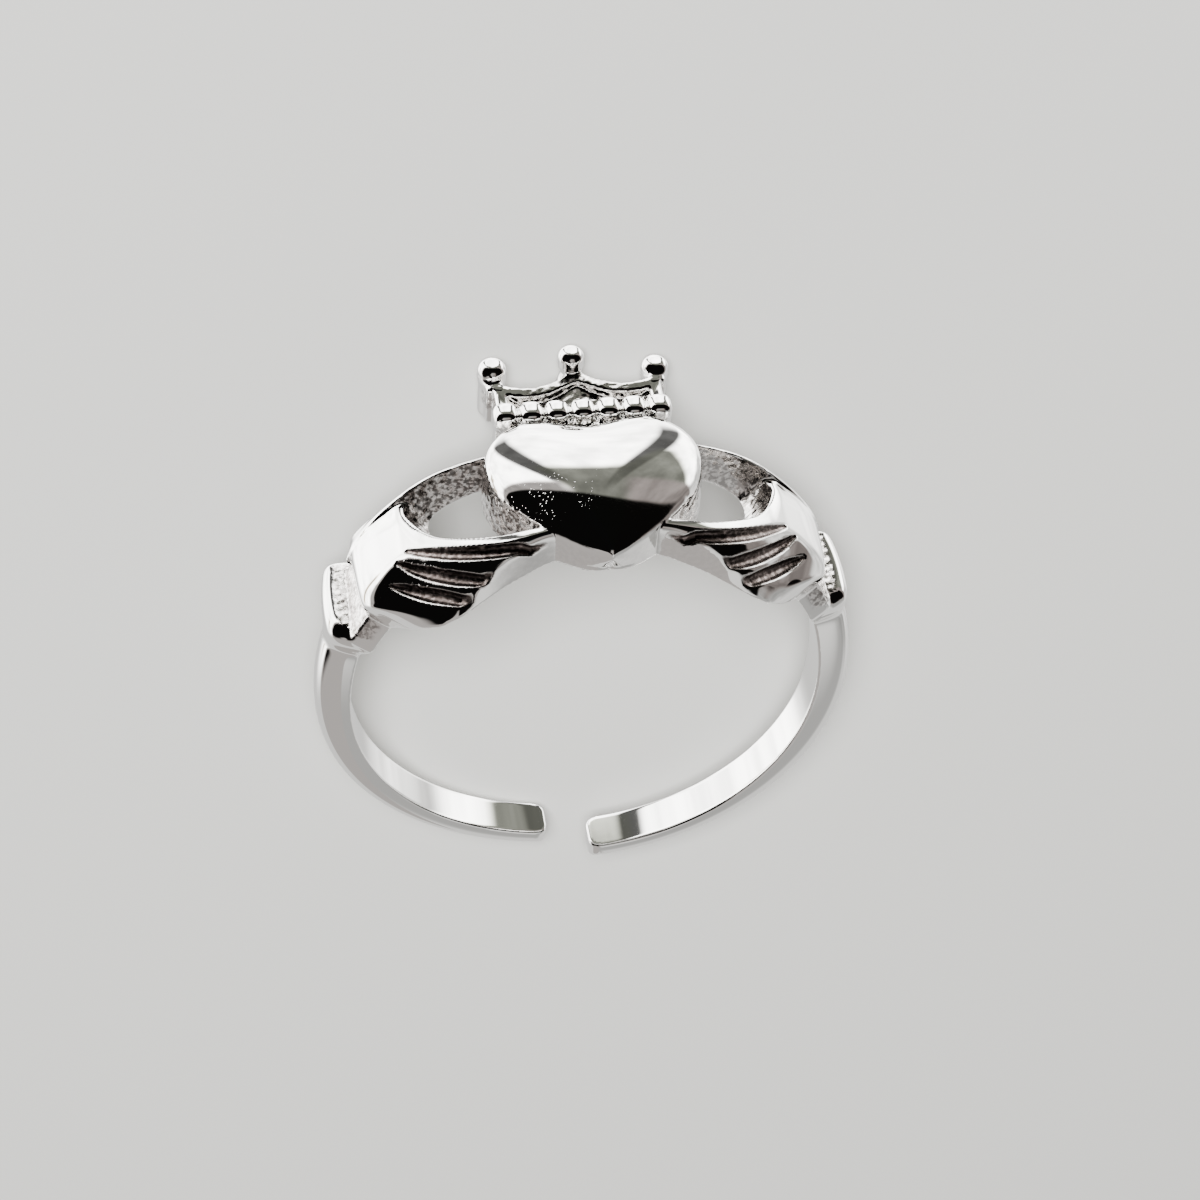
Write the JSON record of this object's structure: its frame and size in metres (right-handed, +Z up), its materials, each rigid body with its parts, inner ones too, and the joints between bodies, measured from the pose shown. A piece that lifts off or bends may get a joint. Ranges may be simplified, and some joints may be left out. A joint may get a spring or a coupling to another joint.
{
  "type": "claddagh ring",
  "caption": "Open cast ring: hands with grooved fingers hold a puffed heart under a beaded crown, on a slim band that tapers to rounded ends.",
  "frame": {"origin": "centre of the finger bore, half way across the band's width at the sides", "axes": "+Z up from the floor that the ring lies on, +X to the ring's right hand side as one reads the heart, +Y from the band's open ends to the heart; the bore's axis leans 16.9 degrees from +Z in the YZ plane"},
  "size_m": [0.0196, 0.0208, 0.0097],
  "materials": {
    "silver": "polished"
  },
  "bodies": {
    "root": {"ring": "silver"}
  },
  "joints": []
}
